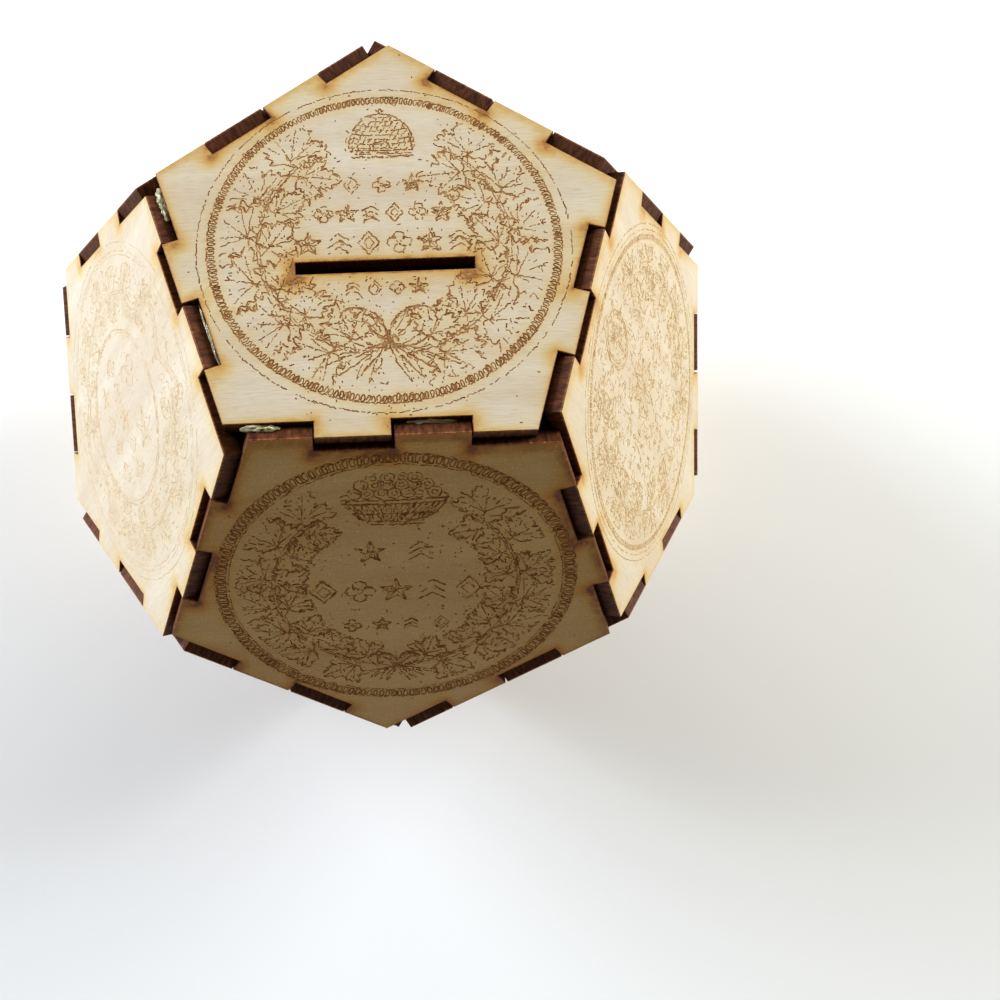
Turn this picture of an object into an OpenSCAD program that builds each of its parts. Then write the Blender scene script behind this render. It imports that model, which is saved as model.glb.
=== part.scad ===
// Twelve-sided wooden money box: twelve finger-jointed plywood pentagons glued edge to edge,
// a coin slot in the top one, and a round emptying hole in the bottom one closed by a plug.
// The box stands on its bottom panel at z = 0, and +Y points away from the slot's front side.

/* [Box] */
// Length of one edge of the twelve-sided box
edge = 50; // [46:0.5:60]
// Thickness of the plywood
board = 3; // [2.6:0.1:3.2]
// Gap left for glue behind the end of each finger
glue_gap = 0.07; // [0.05:0.01:0.3]

/* [Fingers] */
// Start of an edge's first finger, as a share of the edge
finger_1_start = 0.26; // [0.257:0.001:0.27]
// End of an edge's first finger, as a share of the edge
finger_1_end = 0.495; // [0.48:0.001:0.498]
// Start of an edge's second finger, which runs on to the corner, as a share of the edge
finger_2_start = 0.745; // [0.744:0.001:0.75]

/* [Coin slot] */
// Length of the coin slot
slot_length = 29.3; // [24:0.1:32]
// Width of the coin slot
slot_width = 2.2; // [2:0.1:3.5]
// Distance of the slot from the middle of the top panel, towards the front
slot_forward = 4.7; // [0:0.1:8]

/* [Emptying hole] */
// Diameter of the hole in the bottom panel
hole_d = 37.8; // [37:0.1:42]
// Inner diameter of the ring that the plug grips
seat_inner_d = 29; // [28:0.1:30]
// Outer diameter of the ring that the plug grips
seat_outer_d = 47; // [43:0.5:54]

/* [Plug] */
// Diameter of the plug's flange
flange_d = 36; // [34:0.1:36.4]
// Thickness of the flange's plate
flange_plate = 1.5; // [1.2:0.1:2]
// How far the flange lies inside the face of the bottom panel
flange_recess = 0.3; // [0.2:0.1:0.5]
// Diameter of the mouth of the plug's finger cup
cup_mouth_d = 23; // [22:0.1:24]
// Diameter of the cup where its wall steepens inwards
cup_waist_d = 16.4; // [16:0.1:20]
// Depth of the cup's waist behind the flange
cup_waist_depth = 3.6; // [3:0.1:5.5]
// Diameter of the cup's floor
cup_floor_d = 13; // [10:0.1:13]
// Depth of the cup's floor behind the flange
cup_depth = 8.4; // [7:0.1:11]
// Wall thickness of the moulded plug
plug_wall = 1.2; // [1:0.1:1.4]
// Radial gap between the plug's grip beads and the seat ring
grip_gap = 0.1; // [0.05:0.01:0.1]

/* [Hidden] */
$fn = 96;
sides = 5;
panels_in_ring = 5;
corner_angle = 108;
// A regular dodecahedron's height, and each panel's middle-to-corner distance, for an edge of 1
height_per_edge = 2.22703;
corner_per_edge = 0.850651;
// Angle of the side panels' normals above and below the horizon
lean = atan(1 / 2);
height = edge * height_per_edge;
panel_corner_r = edge * corner_per_edge;
// Depth that a square-ended finger needs in its neighbour, with the glue gap
notch_depth = board * cos(lean) + glue_gap;
eps = 0.5;

// Plug levels and radii, measured from the plug's outer face
plug_z = flange_recess;
rim_h = board - flange_recess - 0.1;
rim_w = 1.3;
collar_r = seat_inner_d / 2 - 0.35;
collar_h = board * 2 + 1.2 - flange_recess;
bead_r = seat_inner_d / 2 - grip_gap;
bead_h = 0.8;
bead_levels = [board + 0.4, board + 1.6];
edge_round = 0.4;

// Colours
birch = [0.91, 0.82, 0.64];
shaded_birch = [0.86, 0.76, 0.57];
inner_ply = [0.78, 0.66, 0.47];
white_plastic = [0.95, 0.96, 0.98];

// One edge's corners as [share along the edge, depth into the panel], going round
// anticlockwise: notch, finger, notch, finger. It starts where the last finger's end meets
// this edge's first notch.
function edge_steps() = [
    [-notch_depth / tan(180 - corner_angle) / edge, notch_depth],
    [finger_1_start, notch_depth],
    [finger_1_start, 0],
    [finger_1_end, 0],
    [finger_1_end, notch_depth],
    [finger_2_start, notch_depth],
    [finger_2_start, 0]
];

// A point of the panel's edge k, from its share along the edge and its depth
function edge_point(k, step, turn) =
    let (a = turn + k * 360 / sides,
         start = panel_corner_r * [cos(a), sin(a)],
         outward_angle = a + 180 / sides,
         outward = [cos(outward_angle), sin(outward_angle)],
         along = [-outward[1], outward[0]])
    start + along * step[0] * edge - outward * step[1];

// Outline of one panel, seen from outside, with its first corner at the angle turn
function panel_outline(turn) =
    [for (k = [0:sides - 1]) for (step = edge_steps()) edge_point(k, step, turn)];

// A panel lying flat with its outer face at z = 0 and its wood below
module panel(turn) {
    translate([0, 0, -board])
        linear_extrude(board)
            polygon(panel_outline(turn));
}

// Carries a flat panel to its place on the box: around is the compass angle of its normal,
// and rise is that normal's angle above the horizon
module on_box(around, rise) {
    translate([0, 0, height / 2])
        rotate([0, 90 - rise, around])
            translate([0, 0, height / 2])
                children();
}

// Slotted top panel, with its flat side to the front
module top_panel() {
    color(birch)
        difference() {
            on_box(0, 90) panel(90);
            translate([0, -slot_forward, height - board / 2])
                cube([slot_length, slot_width, board + 2 * eps], center = true);
        }
}

// Side panel k of the upper ring, counted anticlockwise from the front
module upper_panel(k) {
    color(shaded_birch)
        on_box(270 + (k - 1) * 360 / sides, lean) panel(0);
}

// Side panel k of the lower ring, counted anticlockwise from the right of the front corner
module lower_panel(k) {
    color(shaded_birch)
        on_box(306 + (k - 1) * 360 / sides, -lean) panel(180 / sides);
}

// Bottom panel with the emptying hole
module bottom_panel() {
    color(birch)
        difference() {
            on_box(0, -90) panel(270);
            translate([0, 0, -eps])
                cylinder(d = hole_d, h = board + 2 * eps);
        }
}

// Plywood ring glued inside, over the hole, for the plug to sit on and grip
module plug_seat_ring() {
    color(inner_ply)
        translate([0, 0, board])
            difference() {
                cylinder(d = seat_outer_d, h = board);
                translate([0, 0, -eps])
                    cylinder(d = seat_inner_d, h = board + 2 * eps);
            }
}

// Outline of the plug's half section: the flange with its stiffening rim, the gripping collar
// with its beads, and the finger cup. Each point is [radius, height above the outer face].
function plug_outline() = concat(
    [
        [cup_mouth_d / 2, 0],
        [flange_d / 2 - edge_round, 0],
        [flange_d / 2, edge_round],
        [flange_d / 2, rim_h],
        [flange_d / 2 - rim_w, rim_h],
        [flange_d / 2 - rim_w, flange_plate],
        [collar_r, flange_plate]
    ],
    [for (level = bead_levels) for (step = [0:2])
        [step == 1 ? bead_r : collar_r, level - flange_recess + step * bead_h / 2]],
    [
        [collar_r, collar_h],
        [collar_r - plug_wall, collar_h],
        [collar_r - plug_wall, flange_plate],
        [cup_mouth_d / 2 + plug_wall / 2, flange_plate],
        [cup_waist_d / 2 + plug_wall, cup_waist_depth + plug_wall / 2],
        [cup_floor_d / 2 + plug_wall / 2, cup_depth + plug_wall],
        [0, cup_depth + plug_wall],
        [0, cup_depth],
        [cup_floor_d / 2, cup_depth],
        [cup_waist_d / 2, cup_waist_depth]
    ]
);

// White plastic plug, pushed in from below
module plug() {
    color(white_plastic)
        translate([0, 0, plug_z])
            rotate_extrude()
                polygon(plug_outline());
}

top_panel();
for (k = [1:panels_in_ring])
    upper_panel(k);
for (k = [1:panels_in_ring])
    lower_panel(k);
bottom_panel();
plug_seat_ring();
plug();
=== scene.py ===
"""Looks of the twelve-sided plywood money box: engraved and scorched birch panels, charred
finger joints with glue beads, and the moulded white plug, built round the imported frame."""
from math import acos, atan, atan2, cos, degrees, pi, radians, sin, sqrt, tan

import bmesh
import bpy
import numpy as np
from mathutils import Matrix, Vector, kdtree
from mathutils import noise as mathutils_noise
from mathutils.geometry import delaunay_2d_cdt


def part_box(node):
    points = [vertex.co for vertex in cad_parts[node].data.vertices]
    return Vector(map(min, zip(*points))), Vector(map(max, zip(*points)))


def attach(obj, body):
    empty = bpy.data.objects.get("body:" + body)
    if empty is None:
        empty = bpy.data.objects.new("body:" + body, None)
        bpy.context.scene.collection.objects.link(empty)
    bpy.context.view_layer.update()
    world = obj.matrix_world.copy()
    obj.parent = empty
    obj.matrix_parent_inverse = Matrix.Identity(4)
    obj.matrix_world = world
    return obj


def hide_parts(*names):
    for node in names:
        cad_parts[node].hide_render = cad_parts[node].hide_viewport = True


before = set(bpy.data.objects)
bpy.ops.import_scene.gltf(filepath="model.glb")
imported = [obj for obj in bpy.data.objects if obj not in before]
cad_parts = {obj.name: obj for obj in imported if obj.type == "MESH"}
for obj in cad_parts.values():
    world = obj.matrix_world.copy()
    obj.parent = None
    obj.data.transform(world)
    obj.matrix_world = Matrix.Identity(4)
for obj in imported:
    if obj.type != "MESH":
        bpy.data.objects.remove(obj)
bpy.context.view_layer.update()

# ---------- driving dimensions
# Lengths are in millimetres until a mesh is made, and MM turns them into metres.
MM = 0.001
HEIGHT_PER_EDGE = 2.22703
CORNER_PER_EDGE = 0.850651
SIDES = 5
STEP = 360 / SIDES
LEAN = degrees(atan(0.5))

top_low, top_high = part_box("top_panel")
plug_low, plug_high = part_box("plug")
HEIGHT = top_high.z / MM
EDGE = HEIGHT / HEIGHT_PER_EDGE
BOARD = (top_high.z - top_low.z) / MM
CENTRE = Vector((0, 0, HEIGHT / 2))

# Engraving
GROOVE_DEPTH = 0.14
RIM_BEVEL = 0.1
CLEAR_OF_CUTS = 0.45
OUTER_RING = 0.615 * EDGE
BEAD_RING = 0.583 * EDGE
BEAD_SIZE = 1.4

# Line widths: a bead line is never broken, and a clean line is neither broken nor shaky
FINE_LINE = 0.24
MEDIUM_LINE = 0.26
BOLD_LINE = 0.31
BEAD_LINE = 0.27
CLEAN_LINE = 0.42
DASH_STEP = 0.34
GAP_CHANCE = 0.65

# Spacing of the points that carry scorch over a face: near the cuts, and further in
SAMPLE_STEP = 0.12
FINE_GRID = 1.0
COARSE_GRID = 2.2
FINE_BAND = 5.0
GRID_CLEAR_OF_CUTS = 0.35
GRID_CLEAR_OF_LINES = 0.4

# Scorch and smoke as (strength, reach). The draught blew them up and right over each panel,
# and left no mark below the level DRAUGHT_FROM.
DRAUGHT = np.array([0.35, 0.9])
DRAUGHT_FROM = -9
CUT_SCORCH = (0.38, 0.7)
WIDE_SCORCH = (0.13, 3.0)
DRAUGHT_SCORCH = (0.36, 1.2)
CORNER_SCORCH = (0.62, 1.5)
LINE_SCORCH = 0.29
SHARP_TURN = -0.6
DARK_SMOKE = (0.65, 1.3)

# The same on the bottom board, whose smoke comes from its corners and the hole's lead-ins
BOTTOM_CUT_SCORCH = (0.22, 0.5)
BOTTOM_WIDE_SCORCH = (0.3, 3.5)
BOTTOM_HALO = (0.42, 4.0)
CORNER_SMOKE = (1.1, 1.9)
LEAD_IN_SMOKE = (0.8, 0.9)
BOTTOM_CUT_SMOKE = (0.6, 1.3)
LEAD_INS = 9

# Colours
WHITE = (1.0, 1.0, 1.0)
PALE_BIRCH = (0.755, 0.65, 0.47)
DEEP_BIRCH = (0.665, 0.53, 0.35)
PALE_BACK = (0.60, 0.47, 0.30)
DEEP_BACK = (0.50, 0.38, 0.23)
# The darker, yellower tint of a board: its own tint on most boards, painted shade on the front board
DARK_TONE_AND_SHADE = (0.91, 0.675, 0.375)
PALE_PLAIN = (0.78, 0.685, 0.545)
DEEP_PLAIN = (0.64, 0.50, 0.37)


# ---------- drawing
# A drawing is a list of (points, width) lines in a panel's own plane: x right, y up,
# seen from outside, with the middle of the panel at (0, 0).

def pairs(x, y):
    """Points from their x and y."""
    return np.column_stack([x, y])


def polar(radius, angle):
    a = radians(angle)
    return np.array([radius * cos(a), radius * sin(a)])


def arc(centre, radius, start, end, width=FINE_LINE):
    """A round stretch from one angle to the other, in degrees."""
    steps = max(4, int(abs(radians(end - start)) * radius / 0.5))
    angles = np.radians(np.linspace(start, end, steps + 1))
    points = np.array(centre) + radius * pairs(np.cos(angles), np.sin(angles))
    return (points, width)


def circle(centre, radius, width=FINE_LINE):
    return arc(centre, radius, 0, 360, width)


def rings(*radii, width=FINE_LINE):
    """Circles about the middle of the panel."""
    return [circle((0, 0), radius, width) for radius in radii]


def line(*points, width=FINE_LINE):
    return (np.array(points, float), width)


def placed(drawing, centre=(0, 0), turn=0.0, size=1.0):
    """A drawing scaled, turned about its own origin and moved to a centre."""
    a = radians(turn)
    spin = np.array([[cos(a), sin(a)], [-sin(a), cos(a)]])
    return [(points * size @ spin + np.array(centre), width) for points, width in drawing]


def within(drawing, radius):
    """The parts of a drawing that lie inside a radius."""
    kept = []
    for points, width in drawing:
        points = resampled(points, DASH_STEP)
        inside = np.hypot(*points.T) < radius
        runs = np.split(np.arange(len(points)), np.flatnonzero(np.diff(inside.astype(int))) + 1)
        kept += [(points[run], width) for run in runs if inside[run[0]] and len(run) > 1]
    return kept


def clean(drawing):
    """A drawing in broad unbroken lines."""
    return [(points, CLEAN_LINE) for points, _ in drawing]


def mirrored(drawing):
    return [(points * np.array([-1, 1]), width) for points, width in drawing]


# A bead as shares of a ring's depth, and of half the spacing along it
BEAD = [(0.12, -0.7), (0.08, 0.1), (0.35, 0.55), (0.7, 0.6), (0.95, 0.1), (0.85, -0.55), (0.3, -0.8)]


def bead_ring(radius, depth, count):
    """A rope of small slanted beads inside an outer line."""
    lines = rings(radius)
    half = 180 / count
    for i in range(count):
        points = [polar(radius - share * depth, (2 * i + turn) * half) for share, turn in BEAD]
        lines.append((np.array(points), BEAD_LINE))
    return lines


# The right half of a vine leaf's outline, and the tips of its veins
VINE_LEAF_HALF = [
    (0.0, 0.06), (0.10, 0.0), (0.22, 0.02), (0.34, -0.02), (0.30, 0.10), (0.45, 0.11),
    (0.40, 0.20), (0.58, 0.21), (0.68, 0.34), (0.53, 0.36), (0.57, 0.47), (0.42, 0.45),
    (0.49, 0.59), (0.36, 0.56), (0.24, 0.49), (0.29, 0.62), (0.21, 0.66), (0.26, 0.77),
    (0.14, 0.76), (0.12, 0.88), (0.0, 1.0),
]
VINE_LEAF_VEINS = [(0.0, 0.92), (0.46, 0.36), (-0.46, 0.36), (0.34, 0.52), (-0.34, 0.52)]


def stipple(rng, spread, count, centre=(0, 0), size=0.2):
    """Small loose specks round a centre."""
    lines = []
    for _ in range(count):
        start = np.array(centre) + rng.normal(0, spread, 2)
        lines.append(line(start, start + rng.normal(0, size, 2)))
    return lines


def leaf_outline(rng, half, shake):
    """A leaf's outline from its right half, a little uneven."""
    outline = np.vstack([half, (half * [-1, 1])[-2::-1]])
    return (outline + rng.normal(0, shake, outline.shape), BOLD_LINE)


def vine_leaf(rng):
    """A lobed leaf of length 1 along +y, with veins and small side veins."""
    lines = [leaf_outline(rng, np.array(VINE_LEAF_HALF), 0.016), line((0, 0.12), (0, -0.22))]
    for tip in VINE_LEAF_VEINS:
        tip = np.array(tip)
        lines.append(line((0, 0.1), tip * 0.5 + (0, 0.06), tip))
    lines += stipple(rng, 0.22, 12, (0, 0.45), 0.03)
    return lines


def toothed_leaf(rng, teeth=7, half_width=0.33):
    """An oval leaf of length 1 along +y with a toothed edge, a midrib and side veins."""
    shares = np.linspace(0, 1, 2 * teeth + 1)
    across = half_width * np.sin(pi * shares ** 0.8) * (1 + 0.16 * (np.arange(len(shares)) % 2))
    lines = [leaf_outline(rng, pairs(across, shares), 0.01), line((0, -0.1), (0, 0.9))]
    for share in (0.25, 0.42, 0.6):
        for side in (-1, 1):
            lines.append(line((0, share), (side * half_width * 0.7, share + 0.16)))
    return lines


def branch(rng, radius, start, end, count, length, leaf, lean=45):
    """A twig along an arc, with a large leaf outside and a smaller one inside at each knot,
    and loose specks round every leaf."""
    grows = 1 if end > start else -1
    lines = [arc((0, 0), radius, start, end), arc((0, 0), radius + 0.5, start, end)]
    for i in range(count):
        angle = start + (end - start) * (i + 0.55) / count
        for side, share in ((1, 0.95), (-1, 0.72)):
            heading = angle + grows * 90 - grows * side * (lean + rng.uniform(-10, 10))
            size = length * share * rng.uniform(0.85, 1.1)
            base = polar(radius + side * 1.2, angle + grows * side * rng.uniform(0, 4))
            lines += placed(leaf(rng), base, heading - 90, size)
            lines += stipple(rng, length * 0.3, 14, base + polar(length * 0.45, heading), 0.14)
    return within(lines, BEAD_RING - 2)


def wreath(rng, radius, gap, count, length, leaf, lean=45):
    """Two branches rising from the bottom and leaving a gap at the top, in degrees."""
    lines = branch(rng, radius, 262, 90 + gap, count, length, leaf, lean)
    lines += branch(rng, radius, -82, 90 - gap, count, length, leaf, lean)
    return lines


def bow(width):
    """A ribbon bow round the origin: gathered loops, a knot and forked tails."""
    lines = [circle((0, 0), width * 0.08, BOLD_LINE), circle((0, 0), width * 0.045)]
    turns = np.linspace(0, 2 * pi, 25)
    half = []
    for grow, lift in ((1.0, 0.24), (0.72, 0.2), (0.5, 0.3)):
        loop = pairs(
            width * 0.5 * grow * np.sin(turns / 2) ** 2,
            width * 0.22 * grow * np.sin(turns) + width * lift * np.sin(turns / 2))
        half.append((loop, BOLD_LINE))
    for spread in (0.12, 0.24, 0.4, 0.62):
        drop = width * (0.5 - spread * 0.35)
        end = (width * (spread + 0.1), -drop)
        half.append(line((0, 0), (width * spread * 0.7, -drop * 0.55), end, width=BOLD_LINE))
        half.append(line((width * 0.05, -width * 0.03), (width * (spread + 0.04), -drop * 0.6), end))
    for rise in (0.06, 0.13, 0.2):
        half.append(line((width * 0.07, width * rise * 0.6), (width * 0.2, width * rise * 1.7),
                         (width * 0.36, width * rise * 2.0)))
    return lines + half + mirrored(half)


def beehive(rng, width, height):
    """A straw skep with its doorway, on a low stand, standing on the origin."""
    lines = []
    rows, straw, sag = 8, 0.95, 0.35
    for i in range(rows):
        rise = (i + 0.7) / rows
        half = width / 2 * sqrt(max(0.05, 1 - (rise * 0.96) ** 2))
        level = height * 0.14 + height * 0.8 * rise
        ends = [(-half, level), (-half / 2, level - sag), (half / 2, level - sag), (half, level)]
        lines.append(line(*ends))
        beads = int(half * 2 / straw)
        for k in range(beads):
            x = -half + (k + 0.5) * 2 * half / beads
            lines.append(line((x - 0.18, level - 0.9), (x + 0.18, level - 0.25), width=MEDIUM_LINE))
    dome = np.radians(np.linspace(0, 180, 25))
    outline = pairs(width / 2 * np.cos(dome), height * 0.14 + height * 0.82 * np.sin(dome))
    lines.append((outline, BOLD_LINE))
    for level in (0.0, height * 0.06, height * 0.13):
        lines.append(line((-width * 0.46, level), (0, level - 0.15), (width * 0.46, level), width=BOLD_LINE))
    lines.append(arc((0, height * 0.16), width * 0.13, 0, 180, BOLD_LINE))
    lines.append(circle((0, height * 1.03), 0.45, BOLD_LINE))
    lines += stipple(rng, width * 0.45, 14, (0, height * 0.75))
    return lines


def coin_bowl(rng, width, height):
    """A wide bowl heaped with round coins, standing on the origin."""
    lines = []
    rim = height * 0.5
    for level, half in ((rim, 0.5), (rim - 0.8, 0.49), (rim * 0.45, 0.4), (0.6, 0.27), (0.0, 0.3)):
        lines.append(line((-width * half, level), (0, level - 0.3), (width * half, level), width=BOLD_LINE))
    for side in (-1, 1):
        wall = [(side * width * 0.5, rim), (side * width * 0.42, rim * 0.5), (side * width * 0.27, 0.6)]
        lines.append(line(*wall, width=BOLD_LINE))
        lines.append(arc((side * width * 0.46, rim + 0.4), 0.8, 0, 360, BOLD_LINE))
    for k in range(16):
        x = (k + 0.5) / 16 - 0.5
        lines.append(line((x * width * 0.94, rim - 1.0), (x * width * 0.6, 0.8)))
        lines.append(line((x * width * 0.94 + 0.9, rim - 1.0), (x * width * 0.6 - 0.5, 0.8)))
    for row, (count, level) in enumerate(((7, 0.62), (6, 0.78), (4, 0.92))):
        for k in range(count):
            x = (k - (count - 1) / 2) * width * 0.125
            spot = (x + rng.uniform(-0.2, 0.2), height * level)
            lines.append(circle(spot, 1.15))
            lines.append(circle(spot, 0.55, MEDIUM_LINE))
    return lines


def star(radius, points=5, inner=0.42):
    """A faceted star with one point up."""
    tips = [polar(radius * inner if i % 2 else radius, 90 + i * 180 / points) for i in range(2 * points)]
    return [line(*tips, tips[0], width=BOLD_LINE)] + [line((0, 0), tip) for tip in tips]


def lozenge(size):
    lines = []
    for grow, width in ((0.5, BOLD_LINE), (0.26, FINE_LINE)):
        half = size * grow
        tips = [(0, half), (half * 0.8, 0), (0, -half), (-half * 0.8, 0), (0, half)]
        lines.append(line(*tips, width=width))
    return lines


def quatrefoil(size):
    petals = [arc(polar(size * 0.26, a), size * 0.2, a - 130, a + 130, BOLD_LINE) for a in (0, 90, 180, 270)]
    return rings(size * 0.1) + petals


def chevrons(size):
    lines = []
    for rise in (-0.42, -0.14, 0.14):
        tips = [(-size * 0.38, size * rise), (0, size * (rise + 0.28)), (size * 0.38, size * rise)]
        lines.append(line(*tips, width=BOLD_LINE))
    return lines


ORNAMENTS = [lozenge, quatrefoil, lambda size: star(size * 0.52), chevrons]


def ornament(number, size):
    """The ornaments by turns."""
    return ORNAMENTS[number % len(ORNAMENTS)](size)


def ornament_rows(*rows):
    """Straight rows of small ornaments, each as level, half length, count, size and the
    number of its first ornament."""
    lines = []
    for level, half_length, count, size, first in rows:
        for i in range(count):
            x = (i / (count - 1) * 2 - 1) * (half_length - size * 0.4)
            lines += placed(ornament(first + i, size), (x, level))
    return lines


def ornament_arc(radius, start, end, count, size, first=0):
    """A curved row of small ornaments, upright towards the rim."""
    lines = []
    for i in range(count):
        angle = start + (end - start) * i / (count - 1)
        lines += placed(ornament(first + i, size), polar(radius, angle), angle - 90)
    return lines


def wheat_ear(length, grains=8):
    """An ear of wheat of the given length along +y."""
    lines = [line((0, 0), (length * 0.03, length * 0.5), (0, length * 0.95))]
    turns = np.linspace(0, 2 * pi, 9)
    grain = pairs(0.45 * np.sin(turns), 1.0 - np.cos(turns)) * length * 0.065
    for i in range(grains):
        level = length * (0.36 + 0.6 * i / grains)
        for side in (-1, 1):
            lines += placed([(grain, FINE_LINE)], (side * length * 0.02, level), -side * 28)
            tip = (side * length * 0.15, level + length * 0.24)
            lines.append(line((side * length * 0.06, level + length * 0.11), tip))
    return lines


def sheaf_wreath(radius, count, length):
    """Wheat ears following each other up both sides."""
    half = []
    for i in range(count):
        angle = -70 + 140 * i / count
        half += placed(wheat_ear(length), polar(radius, angle), angle - 6)
    return half + mirrored(half)


def sunburst(inner, outer, rays):
    lines = []
    for i in range(rays):
        angle = 360 * i / rays
        reach = outer if i % 2 else (inner + outer) / 2
        left, right = polar(inner, angle - 120 / rays), polar(inner, angle + 120 / rays)
        lines.append(line(left, polar(reach, angle), right))
    return lines


def guilloche(radius, swing, waves, phases=3):
    """Interlaced wavy rings."""
    angles = np.linspace(0, 360, int(radius * 12))
    lines = []
    for k in range(phases):
        reach = radius + swing * np.sin(np.radians(angles * waves + 360 * k / phases))
        points = np.array([polar(r, a) for r, a in zip(reach, angles)])
        lines.append((points, FINE_LINE))
    return lines


def medallion(rng, width, height):
    """An oval frame with a small tree in it."""
    lines = []
    turns = np.linspace(0, 2 * pi, 41)
    for grow in (1.0, 0.84):
        oval = pairs(width / 2 * grow * np.cos(turns), height / 2 * grow * np.sin(turns))
        lines.append((oval, BOLD_LINE))
    return lines + placed(tree(rng), (0, -height * 0.3), 0, height * 0.06)


def tree(rng):
    """A round tree about 10 high, standing on the origin."""
    lines = [line((-0.5, 0), (-0.35, 4)), line((0.5, 0), (0.35, 4))]
    lines += [line((0, 3), (-1.4, 5.4)), line((0, 3.4), (1.5, 5.8))]
    for _ in range(26):
        spot = rng.normal(0, 1.5, 2) + (0, 6.6)
        start = rng.uniform(0, 360)
        lines.append(arc(spot, rng.uniform(0.5, 0.9), start, start + 200))
    return lines


def thicket(rng, inner, radius, count, reach=1.0):
    """Small random curls filling a ring, like a dense worn engraving."""
    lines = []
    for _ in range(count):
        out = sqrt(rng.uniform(inner ** 2, radius ** 2))
        spot = polar(out, rng.uniform(0, 360))
        start = rng.uniform(0, 360)
        lines.append(arc(spot, reach * rng.uniform(0.5, 1.1), start, start + rng.uniform(70, 200)))
    return lines


def ribbon(radius, swing, start, end, waves):
    """A wavy double line along an arc."""
    angles = np.linspace(start, end, 90)
    lines = []
    for shift in (0, 1.3):
        reach = radius + shift + swing * np.sin(np.radians((angles - start) * waves))
        lines.append((np.array([polar(r, a) for r, a in zip(reach, angles)]), BOLD_LINE))
    return lines


def hills(rng, radius):
    """Rolling hills with trees and a rising sun, inside a circle."""
    lines = [arc((0, -1), radius * 0.3, 0, 180, BOLD_LINE)]
    for i in range(11):
        angle = 15 + 15 * i
        reach = radius * (0.62 + 0.12 * (i % 2))
        lines.append(line(polar(radius * 0.36, angle) + (0, -1), polar(reach, angle) + (0, -1)))
    ridges = ((-1, 0.5, BOLD_LINE), (-5, 1.2, BOLD_LINE), (-9, 1.0, FINE_LINE), (-13, 1.4, FINE_LINE))
    for level, wave, width in ridges:
        half = sqrt(radius ** 2 - level ** 2) - 0.6
        x = np.linspace(-half, half, 30)
        lines.append((pairs(x, level + wave * np.sin(x / 4 + level)), width))
    for x, y, size in ((-13, -6, 0.9), (12, -7, 1.1), (5, -12, 0.8), (-5, -13, 1.0)):
        lines += placed(tree(rng), (x, y), 0, size)
    for _ in range(60):
        x, y = rng.uniform(-radius * 0.8, radius * 0.8), rng.uniform(-radius * 0.7, -2)
        lines.append(line((x, y), (x + rng.uniform(0.4, 1.2), y + 0.1)))
    return lines


# ---------- the panels' designs

def slot_design(rng):
    """Top panel: two rings, vine wreath, beehive, bow, and rows of ornaments about the slot."""
    lines = rings(OUTER_RING) + bead_ring(BEAD_RING, BEAD_SIZE, 215)
    lines += wreath(rng, 20.4, 36, 6, 10.6, vine_leaf)
    lines += placed(beehive(rng, 11.4, 9.2), (0.3, 16.8))
    lines += ornament_rows(
        (11.0, 6.4, 3, 3.3, 0), (5.4, 11.2, 6, 3.5, 1), (-0.3, 14.2, 6, 4.4, 2), (-8.8, 6.5, 4, 2.8, 3))
    lines += placed(bow(15.5), (0, -18.5))
    lines += stipple(rng, 8, 150, (0, -20), 0.13)
    return lines + stipple(rng, 14, 200, (0, 0), 0.12)


def bowl_design(rng):
    """Front panel: bead ring, vine wreath, coin bowl, bow and rows of ornaments."""
    lines = bead_ring(OUTER_RING, 2.0, 165)
    lines += rings(OUTER_RING - 0.4, OUTER_RING - 1.9, OUTER_RING - 2.3)
    lines += wreath(rng, 20.6, 36, 7, 8.4, vine_leaf)
    lines += placed(coin_bowl(rng, 17, 11), (0, 15.4))
    lines += ornament_rows((8.8, 6.2, 2, 5.0, 2), (-0.8, 14.6, 5, 5.6, 0), (-9.7, 9.2, 4, 3.4, 1))
    lines += placed(bow(10), (0, -21.2))
    return lines + stipple(rng, 14, 160)


def garland_design(rng):
    """Three thin rings, a ribboned garland, and rows of ornaments in an inner circle."""
    lines = rings(OUTER_RING, BEAD_RING, BEAD_RING - 0.7)
    lines += [circle((0, -2), 15.5, BOLD_LINE), circle((0, -2), 16.1, BOLD_LINE)]
    lines += ornament_rows((5, 9, 2, 7.5, 1), (-2.5, 12.5, 5, 4.6, 0), (-9, 9.5, 4, 4.0, 2))
    lines += wreath(rng, 21.5, 20, 7, 6.6, toothed_leaf)
    lines += ribbon(21.5, 2.2, 20, 150, 9)
    lines += ribbon(23.0, 1.8, 200, 330, 8)
    lines += thicket(rng, 17, 27, 600, 0.7)
    return lines + stipple(rng, 12, 160)


def medallion_design(rng):
    """A dense, worn scene in two thin rings, with an oval medallion at the top."""
    lines = rings(OUTER_RING, OUTER_RING - 1.1) + bead_ring(BEAD_RING - 0.4, 0.9, 170)
    lines += placed(medallion(rng, 9, 12), (0, 19))
    lines += wreath(rng, 22, 28, 6, 7.0, vine_leaf, 50)
    lines += thicket(rng, 3, 26.5, 1250, 0.8)
    return lines + placed(star(6, 8, 0.5), (0, 1))


def wheat_design(rng):
    """Wheat ears up both sides of a many-pointed star."""
    lines = rings(OUTER_RING) + bead_ring(BEAD_RING, BEAD_SIZE, 170)
    lines += sheaf_wreath(22.5, 8, 13) + sheaf_wreath(17.5, 6, 10)
    lines += placed(star(8, 6), (0, 4))
    lines += ornament_rows((-8, 9, 4, 4.0, 0))
    lines += placed(bow(12), (0, -19))
    return lines + stipple(rng, 9, 80)


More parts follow.
